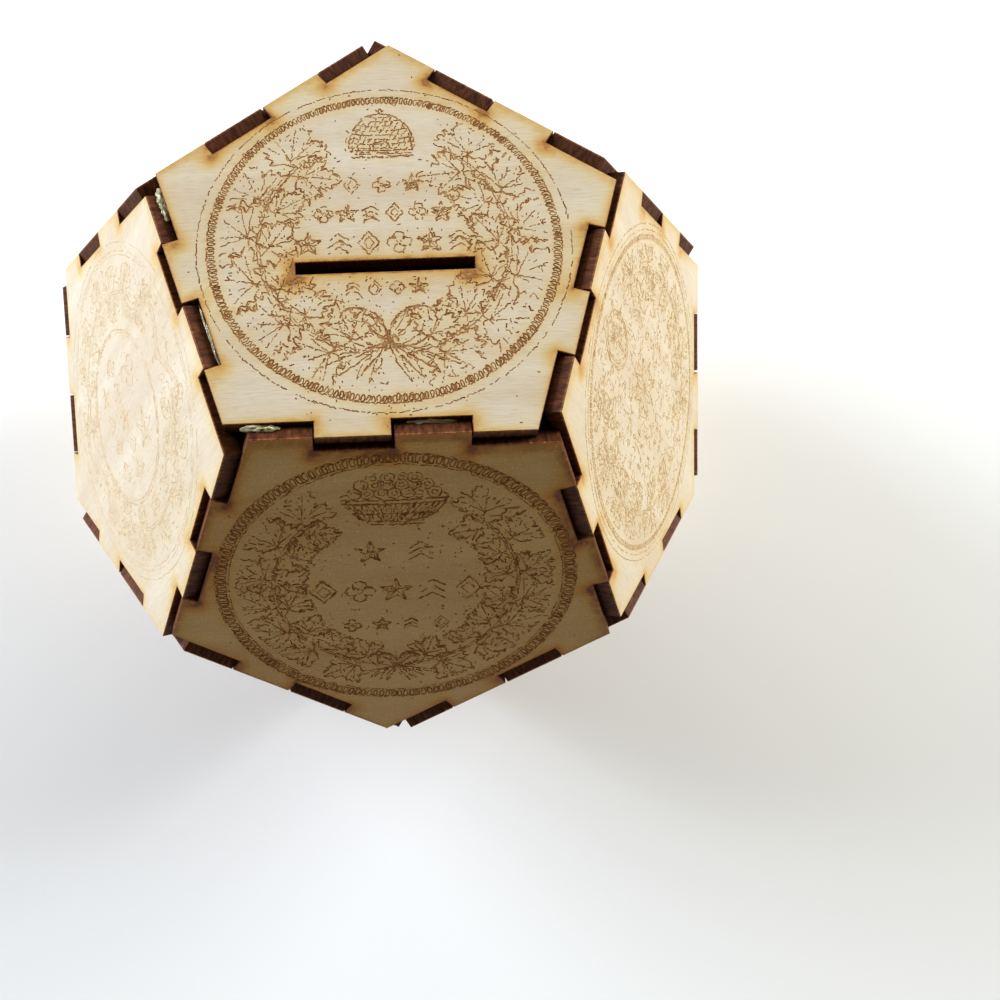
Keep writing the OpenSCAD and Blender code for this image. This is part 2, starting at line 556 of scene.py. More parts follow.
def leaves_design(rng):
    """A thin ring, two big leaves low down, a row of ornaments and curved rows of them."""
    lines = rings(0.59 * EDGE)
    for side in (-1, 1):
        lines += placed(vine_leaf(rng), (side * 3.5, -11), -side * 74, 20)
    lines += placed(star(6.2), (0, 4.5))
    lines += ornament_rows((3.5, 24, 2, 6.5, 1), (3.5, 16, 2, 6.5, 0))
    return clean(lines + ornament_arc(22.5, 150, 30, 6, 6.2) + ornament_arc(25, 250, 290, 4, 4.4, 2))


def hills_design(rng):
    """A landscape in a broad soft ring."""
    lines = rings(*[OUTER_RING - shrink for shrink in (0.6, 1.1, 1.6, 2.1)], width=CLEAN_LINE)
    lines += hills(rng, 25)
    lines += ornament_arc(22.5, 155, 25, 9, 3.2)
    return lines + stipple(rng, 12, 60)


def rosette_design(rng):
    """Interlaced rings round a sunburst."""
    lines = rings(OUTER_RING) + guilloche(26.4, 1.5, 36) + guilloche(19, 2.4, 18)
    lines += sunburst(8.5, 14.5, 32) + star(7.5, 8, 0.55)
    return lines + stipple(rng, 12, 90)


# ---------- materials

class Nodes:
    """Short ways to add nodes to the tree of a material or of the world."""

    def __init__(self, owner):
        owner.use_nodes = True
        self.owner, self.tree = owner, owner.node_tree

    def feed(self, socket, value):
        """Feeds a socket from another node, or sets its own value."""
        if isinstance(value, bpy.types.NodeSocket):
            self.tree.links.new(value, socket)
        else:
            socket.default_value = (*value, 1) if socket.type == "RGBA" else value

    def add(self, kind, inputs=None, **settings):
        node = self.tree.nodes.new("ShaderNode" + kind)
        for key, value in settings.items():
            setattr(node, key, value)
        for key, value in (inputs or {}).items():
            self.feed(node.inputs[key], value)
        return node

    def attribute(self, name, output="Fac"):
        return self.add("Attribute", attribute_name=name).outputs[output]

    def object_place(self):
        return self.add("TexCoord").outputs["Object"]

    def noise(self, vector, stretch=(1, 1, 1), detail=3.0, roughness=0.55, distortion=0.0, scale=1.0):
        """Noise over coordinates that are stretched by a factor along each axis."""
        spread = self.add("VectorMath", {0: vector, 1: stretch}, operation="MULTIPLY")
        return self.add("TexNoise", {
            "Vector": spread.outputs[0], "Scale": scale, "Detail": detail,
            "Roughness": roughness, "Distortion": distortion}).outputs["Fac"]

    def ramp(self, factor, *stops):
        """A colour ramp from (position, colour) stops."""
        node = self.add("ValToRGB", {"Fac": factor})
        elements = node.color_ramp.elements
        while len(elements) < len(stops):
            elements.new(0.5)
        for element, (position, colour) in zip(elements, stops):
            element.position = position
            element.color = (*colour, 1)
        return node.outputs["Color"]

    def mix(self, factor, first, second, blend="MULTIPLY"):
        inputs = {"Factor": factor, 6: first, 7: second}
        return self.add("Mix", inputs, data_type="RGBA", blend_type=blend).outputs[2]

    def maths(self, operation, *values):
        return self.add("Math", dict(enumerate(values)), operation=operation).outputs[0]

    def remap(self, value, old, new, kind="LINEAR"):
        """A value carried from one range to another."""
        return self.add("MapRange", {
            "Value": value, "From Min": old[0], "From Max": old[1],
            "To Min": new[0], "To Max": new[1]}, interpolation_type=kind).outputs[0]

    def surface(self, colour, values, height=None, relief=0.0):
        """Sets the shader's colour and plain values, and its relief with a depth in metres."""
        shader = self.tree.nodes["Principled BSDF"]
        for name, value in {"Base Color": colour, **values}.items():
            self.feed(shader.inputs[name], value)
        if height is not None:
            bump = self.add("Bump", {"Height": height, "Distance": relief, "Strength": 1.0})
            self.feed(shader.inputs["Normal"], bump.outputs[0])
        return self.owner


def new_material(name):
    return Nodes(bpy.data.materials.new(name))


def birch(name, pale, deep, figure_scale=(0.018, 0.13, 0.1)):
    """Sanded birch ply: long fine fibres, broad soft figure, thin pores, scorch and smoke. A
    board with a higher tint value is darker and yellower, with mottling and pale dust: its own
    tint on most boards, painted shade on the front board."""
    look = new_material(name)
    place = look.attribute("plank", "Vector")
    tone_and_shade = look.attribute("tone_and_shade")
    fibre = look.noise(place, (0.3, 3.2, 1.0), 4.0, 0.62)
    figure = look.noise(place, figure_scale, 3.0, 0.5, 0.8)
    pores = look.noise(place, (0.35, 5.0, 1.0), 2.0, 0.5)
    mottle = look.noise(place, (2.6, 2.6, 2.6), 2.0)
    patchy = look.noise(place, (0.45, 0.45, 0.45), 4.0, 0.65)
    colour = look.ramp(figure, (0.3, pale), (0.72, deep))
    # The darker, yellower tint mixed in: painted shade on the front board, random tint on the others
    colour = look.mix(1.0, colour, look.mix(tone_and_shade, WHITE, DARK_TONE_AND_SHADE, "MIX"))
    dust = (0.36, (0.88, 0.87, 0.86)), (0.5, WHITE), (0.64, WHITE), (0.74, (1.5, 1.55, 1.65))
    colour = look.mix(tone_and_shade, colour, look.ramp(mottle, *dust))
    colour = look.mix(0.75, colour, look.ramp(fibre, (0.3, (0.87, 0.84, 0.80)), (0.62, WHITE)))
    colour = look.mix(0.5, colour, look.ramp(pores, (0.3, (0.76, 0.66, 0.55)), (0.4, WHITE)))
    spread = look.maths("MULTIPLY_ADD", patchy, 1.3, 0.35)
    scorch = look.ramp(
        look.maths("MULTIPLY", look.attribute("scorch"), spread),
        (0.0, WHITE), (0.2, (1.0, 0.94, 0.76)), (0.48, (0.96, 0.76, 0.38)),
        (0.8, (0.82, 0.51, 0.16)), (1.0, (0.5, 0.25, 0.06)))
    smoke = look.ramp(
        look.maths("MULTIPLY", look.attribute("smoke"), spread),
        (0.0, WHITE), (0.25, (0.94, 0.88, 0.66)), (0.6, (0.58, 0.5, 0.34)), (1.0, (0.2, 0.16, 0.11)))
    colour = look.mix(1.0, look.mix(1.0, colour, scorch), smoke)
    return look.surface(colour, {"Roughness": 0.62, "Specular IOR Level": 0.3}, fibre, 0.00003)


def burnt_line():
    """The walls and floor of an engraved groove, darker where the burn attribute is higher."""
    look = new_material("burnt_line")
    patchy = look.noise(look.attribute("plank", "Vector"), (0.8, 0.8, 0.8))
    shade = look.maths("ADD", look.attribute("burn"), look.maths("MULTIPLY_ADD", patchy, 0.7, -0.35))
    colour = look.ramp(
        shade, (0.0, (0.73, 0.59, 0.41)), (0.25, (0.6, 0.4, 0.2)), (0.45, (0.45, 0.235, 0.082)),
        (0.7, (0.3, 0.125, 0.034)), (1.0, (0.11, 0.038, 0.012)))
    return look.surface(colour, {"Roughness": 0.85, "Specular IOR Level": 0.1})


def charred_edge():
    """Laser-cut edge: dark reddish char with pale specks, blacker towards the inside of the box
    from painted shade deep in the joints, and golden brown along the outer rim."""
    look = new_material("charred_edge")
    place = look.attribute("plank", "Vector")
    streaks = look.noise(place, (1.6, 1.6, 0.5), 4.0, 0.6)
    specks = look.noise(place, (5.0, 5.0, 5.0), 2.0, 0.5)
    char = look.ramp(
        streaks, (0.32, (0.036, 0.01, 0.003)), (0.46, (0.083, 0.025, 0.008)),
        (0.60, (0.125, 0.038, 0.012)), (0.75, (0.19, 0.068, 0.022)))
    colour = look.mix(1.0, char, look.ramp(specks, (0.6, WHITE), (0.7, (2.4, 2.3, 2.0))))
    level = look.add("SeparateXYZ", {0: place}).outputs["Z"]
    # Painted shade: the char darkens towards the board's inner face, deep in the joints; the golden band by
    # the outer face is the rim's own colour
    inner_shade_and_rim = look.ramp(
        look.remap(level, (-BOARD, 0.0), (0.0, 1.0)),
        (0.0, (0.2, 0.18, 0.2)), (0.3, WHITE), (0.88, WHITE), (0.95, (2.5, 3.0, 3.0)))
    colour = look.mix(1.0, colour, inner_shade_and_rim)
    return look.surface(colour, {"Roughness": 0.6, "Specular IOR Level": 0.12}, streaks, 0.00004)


def glue_material():
    """Dried clear glue, slightly yellow."""
    look = new_material("dried_glue")
    cloudy = look.noise(look.object_place(), scale=900.0)
    colour = look.ramp(cloudy, (0.35, (0.78, 0.7, 0.25)), (0.65, (0.95, 0.9, 0.6)))
    return look.surface(colour, {
        "Roughness": 0.1, "Transmission Weight": 0.4, "Subsurface Weight": 0.3,
        "Subsurface Radius": (0.001, 0.001, 0.0007)}, cloudy, 0.0001)


def plug_plastic():
    """Glossy white moulded polyethylene, faintly bluish."""
    look = new_material("white_plastic")
    cloudy = look.noise(look.object_place(), detail=2.0, scale=160.0)
    colour = look.ramp(cloudy, (0.3, (0.84, 0.845, 0.875)), (0.7, (0.855, 0.86, 0.885)))
    return look.surface(colour, {
        "Roughness": look.remap(cloudy, (0.0, 1.0), (0.22, 0.34)),
        "Subsurface Weight": 0.12, "Subsurface Radius": (0.002, 0.002, 0.002)})


def seat_ring_ply():
    """The glued-in ring: pale ply on its flat faces and char on its cut walls."""
    look = new_material("seat_ring_ply")
    fibre = look.noise(look.object_place(), (0.15, 2.4, 1.0), scale=1000.0)
    wood = look.ramp(fibre, (0.3, (0.50, 0.36, 0.20)), (0.7, (0.62, 0.48, 0.30)))
    char = look.ramp(fibre, (0.3, (0.03, 0.012, 0.008)), (0.7, (0.13, 0.05, 0.03)))
    facing = look.add("SeparateXYZ", {0: look.add("NewGeometry").outputs["Normal"]}).outputs["Z"]
    flat = look.maths("GREATER_THAN", look.maths("ABSOLUTE", facing), 0.7)
    return look.surface(look.mix(flat, char, wood, "MIX"), {"Roughness": 0.65}, fibre, 0.00003)


# ---------- adding pieces

def link(name, data):
    """A new object in the scene."""
    thing = bpy.data.objects.new(name, data)
    bpy.context.scene.collection.objects.link(thing)
    return thing


def mesh_piece(name, points, faces, materials, smooth=False):
    """A new object from points in metres and faces."""
    mesh = bpy.data.meshes.new(name)
    mesh.from_pydata(points, [], faces)
    return finish_piece(name, mesh, materials, smooth)


def lump_piece(name, shape, material, smooth):
    """A new object from a bmesh, which is used up."""
    mesh = bpy.data.meshes.new(name)
    shape.to_mesh(mesh)
    shape.free()
    return finish_piece(name, mesh, [material], smooth)


def finish_piece(name, mesh, materials, smooth):
    for material in materials:
        mesh.materials.append(material)
    for polygon in mesh.polygons if smooth else ():
        polygon.use_smooth = True
    mesh.update()
    return link(name, mesh)


def outward(around, rise):
    """The direction at an angle round the box and an angle above the horizon."""
    a, r = radians(around), radians(rise)
    return Vector((cos(a) * cos(r), sin(a) * cos(r), sin(r)))


# ---------- engraving strokes

def resampled(points, step):
    """The same line with points about a step apart."""
    lengths = np.r_[0, np.cumsum(np.hypot(*np.diff(points, axis=0).T))]
    count = max(2, int(lengths[-1] / step) + 1)
    at = np.linspace(0, lengths[-1], count)
    return pairs(np.interp(at, lengths, points[:, 0]), np.interp(at, lengths, points[:, 1]))


def passes_of(rng, width):
    """How often a line is drawn, each time as (sideways shift, share of its dashes kept)."""
    passes = [(0.0, 0.86)]
    if width == BOLD_LINE:
        passes.append((0.2, 0.42))
    if width == BEAD_LINE and rng.random() < 0.3:
        passes.append((0.15, 1.0))
    return passes


def broken(rng, drawing):
    """Each line as short shaky dashes with gaps, the way a scanned drawing engraves. Bold
    lines get a second, sparser pass beside the first, while a ring's beads and clean lines
    stay whole. A stroke is (points, half width, burn)."""
    strokes = []
    for points, width in drawing:
        smooth = resampled(points, DASH_STEP)
        if width >= CLEAN_LINE:
            strokes.append((smooth, width / 2, rng.uniform(0.7, 1.0)))
            continue
        is_bead = width == BEAD_LINE
        wobble, least_burn = (0.055, 0.75) if is_bead else (0.075, 0.4)
        for offset, cover in passes_of(rng, width):
            trace = smooth + rng.normal(0, wobble, smooth.shape) + rng.normal(0, 1, 2) * offset
            start = 0
            while start < len(trace) - 1:
                dash = len(trace) if is_bead else int(rng.integers(2, 5))
                stroke = trace[start:start + dash]
                if len(stroke) >= 2 and (is_bead or rng.random() < cover):
                    strokes.append((stroke, width * rng.uniform(0.7, 1.2) / 2, rng.uniform(least_burn, 1.0)))
                start += dash - 1 + int(rng.random() < GAP_CHANCE)
    return strokes


def stroke_outline(points, half):
    """Left and right sides of a stroke, with pointed ends."""
    along = np.gradient(points, axis=0)
    along /= np.maximum(np.hypot(*along.T), 1e-9)[:, None]
    across = pairs(-along[:, 1], along[:, 0]) * half
    tips = points[[0, -1]] + along[[0, -1]] * [[-half], [half]]
    return np.vstack([tips[:1], points + across, tips[1:], (points - across)[::-1]])


# ---------- panels

def panel_place(around, rise, turn=0.0):
    """Matrix from a panel's drawing plane, in mm, to the frame, in metres."""
    a, r = radians(around), radians(rise)
    normal = outward(around, rise)
    up = Vector((-cos(a) * sin(r), -sin(a) * sin(r), cos(r)))
    up = Matrix.Rotation(radians(turn), 3, normal) @ up
    turned = Matrix((up.cross(normal), up, normal)).transposed().to_4x4()
    return Matrix.Scale(MM, 4) @ Matrix.Translation(CENTRE + normal * HEIGHT / 2) @ turned


def cut_loops(node, place):
    """The cut outlines of a CAD panel's outer face in its drawing plane, wood on their left
    and the longest first."""
    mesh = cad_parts[node].data
    to_plane = np.array(place.inverted())
    points = np.empty(len(mesh.vertices) * 3)
    mesh.vertices.foreach_get("co", points)
    points = points.reshape(-1, 3) @ to_plane[:3, :3].T + to_plane[:3, 3]
    keys = [tuple(np.round(p, 3) + 0.0) for p in points]
    links = set()
    for polygon in mesh.polygons:
        corners = [keys[v] for v in polygon.vertices]
        if all(abs(c[2]) < 0.01 for c in corners):
            links |= set(zip(corners, corners[1:] + corners[:1]))
    following = {a: b for a, b in links if (b, a) not in links}
    loops = []
    while following:
        first, after = following.popitem()
        loop = [first]
        while after != first:
            loop.append(after)
            after = following.pop(after)
        loops.append(np.array(loop)[:, :2])
    return sorted(loops, key=lambda loop: -np.ptp(loop[:, 0]))


def inset(loop, distance):
    """A loop moved into the wood by a distance."""
    ahead = np.roll(loop, -1, axis=0) - loop
    ahead /= np.hypot(*ahead.T)[:, None]
    into = pairs(-ahead[:, 1], ahead[:, 0])
    before = np.roll(into, 1, axis=0)
    return loop + (into + before) / (1 + (into * before).sum(1))[:, None] * distance


def in_wood(points, loops):
    """True for each point that lies inside the cut outlines."""
    inside = np.zeros(len(points), bool)
    for loop in loops:
        for (x0, y0), (x1, y1) in zip(loop, np.roll(loop, -1, axis=0)):
            if y0 != y1:
                crosses = (points[:, 1] < y0) != (points[:, 1] < y1)
                reach = (points[:, 1] - y0) / (y1 - y0) * (x1 - x0) + x0
                inside ^= crosses & (points[:, 0] < reach)
    return inside


def triangulated(points, edges):
    """A triangulation that keeps the edges: its points, its triangles, and the numbers of
    the given points that each point stands for."""
    made = delaunay_2d_cdt([Vector(p) for p in points], edges, [], 0, 1e-5, True)
    return np.array([tuple(v) for v in made[0]]), made[2], made[3]


def tree_of(points):
    """A search tree over points in a plane."""
    tree_ = kdtree.KDTree(max(1, len(points)))
    for i, (x, y) in enumerate(points):
        tree_.insert((x, y, 0), i)
    tree_.balance()
    return tree_


def nearest(tree_, points):
    """For each point, the number of the nearest point of a tree and its distance."""
    found = [tree_.find((x, y, 0))[1:] for x, y in points]
    return np.array([index for index, _ in found]), np.array([gap for _, gap in found])


def fade(gap, mark):
    """A mark of (strength, reach) at a distance."""
    strength, reach = mark
    return strength * np.exp(-gap / reach)


def hot_corners(loops):
    """Corners where the beam slowed: the notches' inner corners and the slot's ends."""
    corners = []
    for loop in loops:
        before, after = loop - np.roll(loop, 1, axis=0), np.roll(loop, -1, axis=0) - loop
        turn = before[:, 0] * after[:, 1] - before[:, 1] * after[:, 0]
        turn /= np.hypot(*before.T) * np.hypot(*after.T)
        corners.append(loop[turn < SHARP_TURN])
    return np.vstack(corners)


def near_corners(points, corners, mark):
    """A mark of (strength, reach) round each corner."""
    strength, reach = mark
    total = np.zeros(len(points))
    for corner in corners:
        total = np.maximum(total, np.exp(-((points - corner) ** 2).sum(1) / (2 * reach ** 2)))
    return strength * total


def grid_points(loops, cut_tree):
    """Points over the wood, closer together near the cuts."""
    low, high = loops[0].min(0), loops[0].max(0)
    found = []
    for pitch, near in ((FINE_GRID, True), (COARSE_GRID, False)):
        x, y = np.meshgrid(np.arange(low[0], high[0], pitch), np.arange(low[1], high[1], pitch))
        x = x + (np.arange(len(x)) % 2)[:, None] * pitch / 2
        points = pairs(x.ravel(), y.ravel())
        points = points[in_wood(points, loops)]
        _, gap = nearest(cut_tree, points)
        wanted = (gap > GRID_CLEAR_OF_CUTS) & (gap < FINE_BAND) if near else gap >= FINE_BAND
        found.append(points[wanted])
    return np.vstack(found)


def glow_of(centres, points):
    """From 0 to 1, how much engraving lies round each point."""
    cell, full = 0.8, 9
    bins = int(2 * OUTER_RING / cell) + 8
    reach = bins * cell / 2
    count, _, _ = np.histogram2d(centres[:, 0], centres[:, 1], bins=bins, range=[[-reach, reach]] * 2)
    for axis in (0, 1):
        count = sum(np.roll(count, shift, axis) for shift in (-1, 0, 1)) / 3
    cells = np.clip(((points + reach) / cell).astype(int), 0, bins - 1)
    return np.clip(count[cells[:, 0], cells[:, 1]] / full, 0, 1)


# The places of a panel's materials
FACE, GROOVE, CHAR, BACK = range(4)


class Panel:
    """One ply panel cut to a CAD panel's outline, engraved with a drawing."""

    def __init__(self, name, node, place, drawing, grain, seed, burn=1.0, tone_and_shade=0.0, smoky=False):
        self.rng = np.random.default_rng(seed)
        self.loops = cut_loops(node, place)
        closed = [np.vstack([loop, loop[:1]]) for loop in self.loops]
        self.cut_tree = tree_of(np.vstack([resampled(loop, SAMPLE_STEP) for loop in closed]))
        self.grain, self.seed, self.smoky = grain, seed, smoky
        self.burn, self.tone_and_shade = burn, tone_and_shade
        self.strokes = self.clear_strokes(broken(self.rng, drawing))
        self.cut_face()
        if smoky:
            self.smoke_marks()
        else:
            self.scorch_marks()
        self.build(name, place)
        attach(self.piece, "box")
        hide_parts(node)

    def clear_strokes(self, strokes):
        """Only the strokes that keep clear of the cuts."""
        if not strokes:
            return []
        points = np.vstack([stroke[0] for stroke in strokes])
        starts = np.cumsum([0] + [len(stroke[0]) for stroke in strokes[:-1]])
        clear = in_wood(points, self.loops) & (nearest(self.cut_tree, points)[1] > CLEAR_OF_CUTS)
        clear = np.logical_and.reduceat(clear, starts)
        return [stroke for stroke, keep in zip(strokes, clear) if keep]

    def sample_strokes(self):
        """Closely spaced points along the strokes, with each one's half width and burn."""
        fine = [resampled(stroke, SAMPLE_STEP) for stroke, _, _ in self.strokes]
        counts = [len(points) for points in fine]
        self.samples = np.vstack(fine)
        halves = np.repeat([half for _, half, _ in self.strokes], counts)
        return halves, np.repeat([burn for _, _, burn in self.strokes], counts)

    def cut_face(self):
        """Triangles of the engraved face, with the depth and burn of its grooves."""
        points, edges = [], []

        def add(path, closed=True):
            first, count = len(points), len(path)
            points.extend(path)
            edges.extend((first + i, first + (i + 1) % count) for i in range(count if closed else count - 1))
            return range(first, len(points))

        inner = [inset(loop, RIM_BEVEL) for loop in self.loops]
        rims = [add(loop) for loop in inner]
        for stroke, half, _ in self.strokes:
            add(stroke_outline(stroke, half))
            add(stroke, closed=False)
        grid = grid_points(self.loops, self.cut_tree)
        if self.strokes:
            halves, burns = self.sample_strokes()
            line_tree = tree_of(self.samples)
            grid = grid[nearest(line_tree, grid)[1] > GRID_CLEAR_OF_LINES]
        points.extend(grid)
        self.flat, triangles, origins = triangulated(points, edges)
        where = {source: index for index, sources in enumerate(origins) for source in sources}
        self.rims = [[where[i] for i in rim] for rim in rims]
        triangles = np.array(triangles)
        middles = self.flat[triangles].mean(1)
        wood = in_wood(middles, inner)
        self.triangles, middles = triangles[wood], middles[wood]
        self.depth = np.zeros(len(self.flat))
        self.darkness = np.zeros(len(self.flat))
        self.grooved = np.zeros(len(self.triangles), bool)
        if self.strokes:
            index, gap = nearest(line_tree, self.flat)
            self.depth = np.clip(1 - gap / halves[index], 0, 1) * GROOVE_DEPTH * (0.35 + 0.65 * self.burn)
            self.darkness = burns[index] * self.burn
            index, gap = nearest(line_tree, middles)
            self.grooved = gap < halves[index] * 0.95

    def scorch_marks(self):
        """Scorch at each point: most where the beam turned, and down the draught."""
        down_wind = self.flat + DRAUGHT
        gap = nearest(self.cut_tree, self.flat)[1]
        blown = nearest(self.cut_tree, down_wind)[1]
        self.scorch = fade(gap, CUT_SCORCH) + fade(gap, WIDE_SCORCH)
        self.scorch += near_corners(down_wind, hot_corners(self.loops), CORNER_SCORCH)
        self.scorch += fade(blown, DRAUGHT_SCORCH) * (self.flat[:, 1] > DRAUGHT_FROM)
        self.scorch += LINE_SCORCH * glow_of(self.samples, self.flat)
        self.scorch = np.clip(self.scorch * (0.45 + 0.6 * self.burn), 0, 1)
        self.smoke = self.tone_and_shade * fade(blown, DARK_SMOKE)

    def smoke_marks(self):
        """Uneven scorch and smoke at the notches' corners and where the beam cut into the hole."""
        gap = nearest(self.cut_tree, self.flat)[1]
        swell = self.patches()
        corners = hot_corners(self.loops)
        lead_ins = self.rng.choice(self.loops[1], LEAD_INS, replace=False)
        halo = near_corners(self.flat, np.vstack([corners, lead_ins]), BOTTOM_HALO)
        near = near_corners(self.flat, corners, CORNER_SMOKE)
        near_hole = near_corners(self.flat, lead_ins, LEAD_IN_SMOKE)
        self.scorch = fade(gap, BOTTOM_CUT_SCORCH) + fade(gap, BOTTOM_WIDE_SCORCH) * swell
        self.scorch = np.clip(self.scorch + halo * (0.3 + swell), 0, 1)
        self.smoke = np.clip(near * (0.5 + swell) + near_hole + fade(gap, BOTTOM_CUT_SMOKE) * swell, 0, 1)

    def patches(self):
        """Slow random swell along the panel, for uneven smoke."""
        waves = np.zeros(len(self.flat))
        for _ in range(6):
            heading, phase = self.rng.uniform(0, 2 * pi, 2)
            pace = self.rng.uniform(0.12, 0.4)
            waves += np.sin((self.flat @ (cos(heading), sin(heading))) * pace + phase)
        return np.clip(waves / 3, 0, 1)

    def build(self, name, place):
        """The closed solid: engraved face, small bevel, charred walls and plain back."""
        points = [np.column_stack([self.flat, -self.depth])]
        faces = [tuple(t) for t in self.triangles]
        slots = [GROOVE if grooved else FACE for grooved in self.grooved]
        backs, back_edges = [], []
        total = len(self.flat)
        for loop, rim in zip(self.loops, self.rims):
            count, first = len(loop), len(backs)
            points += [np.column_stack([loop, np.full(count, level)]) for level in (-RIM_BEVEL, -BOARD)]
            upper, lower = range(total, total + count), range(total + count, total + 2 * count)
            for i in range(count):
                k = (i + 1) % count
                faces += [(upper[i], upper[k], rim[k], rim[i]), (lower[i], lower[k], upper[k], upper[i])]
                slots += [CHAR, CHAR]
                back_edges.append((first + i, first + k))
            backs += list(zip(lower, loop))
            total += 2 * count
        flat, triangles, origins = triangulated([p for _, p in backs], back_edges)
        for triangle in triangles:
            if in_wood(flat[list(triangle)].mean(0)[None], self.loops)[0]:
                faces.append(tuple(backs[origins[v][0]][0] for v in reversed(triangle)))
                slots.append(BACK)
        points = np.vstack(points)
        to_frame = np.array(place)
        materials = BOTTOM_MATERIALS if self.smoky else PANEL_MATERIALS
        self.piece = mesh_piece(name, points @ to_frame[:3, :3].T + to_frame[:3, 3], faces, materials)
        self.piece.data.polygons.foreach_set("material_index", slots)
        self.add_attributes(points)

    def add_attributes(self, points):
        """What the materials read at each point: its place along the plank, and its marks."""
        attributes = self.piece.data.attributes
        a = radians(self.grain)
        plank = np.column_stack([
            points[:, 0] * cos(a) + points[:, 1] * sin(a),
            points[:, 1] * cos(a) - points[:, 0] * sin(a),
            points[:, 2],
        ]) + (self.seed * 37.0, self.seed * 53.0, 0.0)
        attributes.new("plank", "FLOAT_VECTOR", "POINT").data.foreach_set("vector", plank.ravel())
        marks = {
            "scorch": (self.scorch, 1), "smoke": (self.smoke, 0), "burn": (self.darkness, 1),
            "tone_and_shade": (np.full(len(self.flat), self.tone_and_shade), self.tone_and_shade)}
        for key, (on_face, elsewhere) in marks.items():
            values = np.concatenate([on_face, np.full(len(points) - len(self.flat), elsewhere, float)])
            attributes.new(key, "FLOAT", "POINT").data.foreach_set("value", values)
        self.piece.data.update()


PANEL_MATERIALS = [
    birch("birch_face", PALE_BIRCH, DEEP_BIRCH),
    burnt_line(),
    charred_edge(),
    birch("birch_back", PALE_BACK, DEEP_BACK),
]
BOTTOM_MATERIALS = [birch("birch_plain", PALE_PLAIN, DEEP_PLAIN, (0.02, 0.26, 0.1))] + PANEL_MATERIALS[1:]

# Each side panel as: design, turn of the drawing, grain angle, burn of its lines, tint (painted shade on the
# front board)
UPPER = [
    # The front board's full tint is painted shade, for the panel that faces away from the lights
    (bowl_design, 0, 0, 0.78, 1.0),
    (medallion_design, 0, 90, 0.36, 0.1),
    (wheat_design, 0, 0, 0.8, 0.0),
    (rosette_design, 0, 90, 0.8, 0.3),
    (garland_design, 0, 90, 0.17, 0.0),
]
LOWER = [
    (wheat_design, 0, 0, 0.8, 0.2),
    (hills_design, STEP, 90, 0.5, 0.0),
    (leaves_design, 0, 0, 0.9, 0.4),
    (medallion_design, STEP, 0, 0.55, 0.0),
    (garland_design, -STEP, 90, 0.7, 0.3),
]


def make_panels():
    """Every panel, numbered so that each has its own seed."""
    plans = [("top_panel", 270, 90, (slot_design, 0, 0, 0.74, 0.0))]
    plans += [(f"upper_panel_{k + 1}", 270 + k * STEP, LEAN, plan) for k, plan in enumerate(UPPER)]
    plans += [(f"lower_panel_{k + 1}", 306 + k * STEP, -LEAN, plan) for k, plan in enumerate(LOWER)]
    for seed, (node, around, rise, (design, turn, grain, burn, tone_and_shade)) in enumerate(plans, start=1):
        drawing = design(np.random.default_rng(seed * 11))
        board = node.replace("panel", "board")
        piece = Panel(board, node, panel_place(around, rise, turn), drawing, grain, seed, burn, tone_and_shade).piece
    bottom = Panel("bottom_board", "bottom_panel", panel_place(270, -90), [], -28, 40, smoky=True).piece


# ---------- plug and seat ring

def lathe(name, profile, material, around=128):
    """A closed solid of revolution about +Z from (radius, height) pairs in mm. The profile
    starts and ends on the axis."""
    points, levels, faces = [], [], []
    for radius, height in profile:
        if radius < 1e-6:
            levels.append([len(points)] * around)
            points.append((0, 0, height))
            continue
        levels.append(list(range(len(points), len(points) + around)))
        for i in range(around):
            a = 2 * pi * i / around
            points.append((radius * cos(a), radius * sin(a), height))
    for lower, upper in zip(levels, levels[1:]):
        for i in range(around):
            k = (i + 1) % around
            faces.append(tuple(dict.fromkeys([lower[i], lower[k], upper[k], upper[i]])))
    return mesh_piece(name, [Vector(p) * MM for p in points], faces, [material], smooth=True)


def rounded(corners):
    """A profile whose corners, given as (radius, height, fillet), are rounded by arcs."""
    points = []
    steps = 6
    for i, (x, y, fillet) in enumerate(corners):
        here = np.array([x, y])
        if fillet == 0 or i in (0, len(corners) - 1):
            points.append(tuple(here))
            continue
        to_last = np.array(corners[i - 1][:2]) - here
        to_next = np.array(corners[i + 1][:2]) - here
        to_last /= np.hypot(*to_last)
        to_next /= np.hypot(*to_next)
        half = acos(np.clip(to_last @ to_next, -1, 1)) / 2
        run = fillet / tan(half)
        centre = here + (to_last + to_next) / np.hypot(*(to_last + to_next)) * fillet / sin(half)
        start, end = here + to_last * run - centre, here + to_next * run - centre
        sweep = atan2(start[0] * end[1] - start[1] * end[0], start @ end)
        for s in range(steps + 1):
            a = sweep * s / steps
            points.append((centre[0] + start[0] * cos(a) - start[1] * sin(a),
                           centre[1] + start[0] * sin(a) + start[1] * cos(a)))
    return points


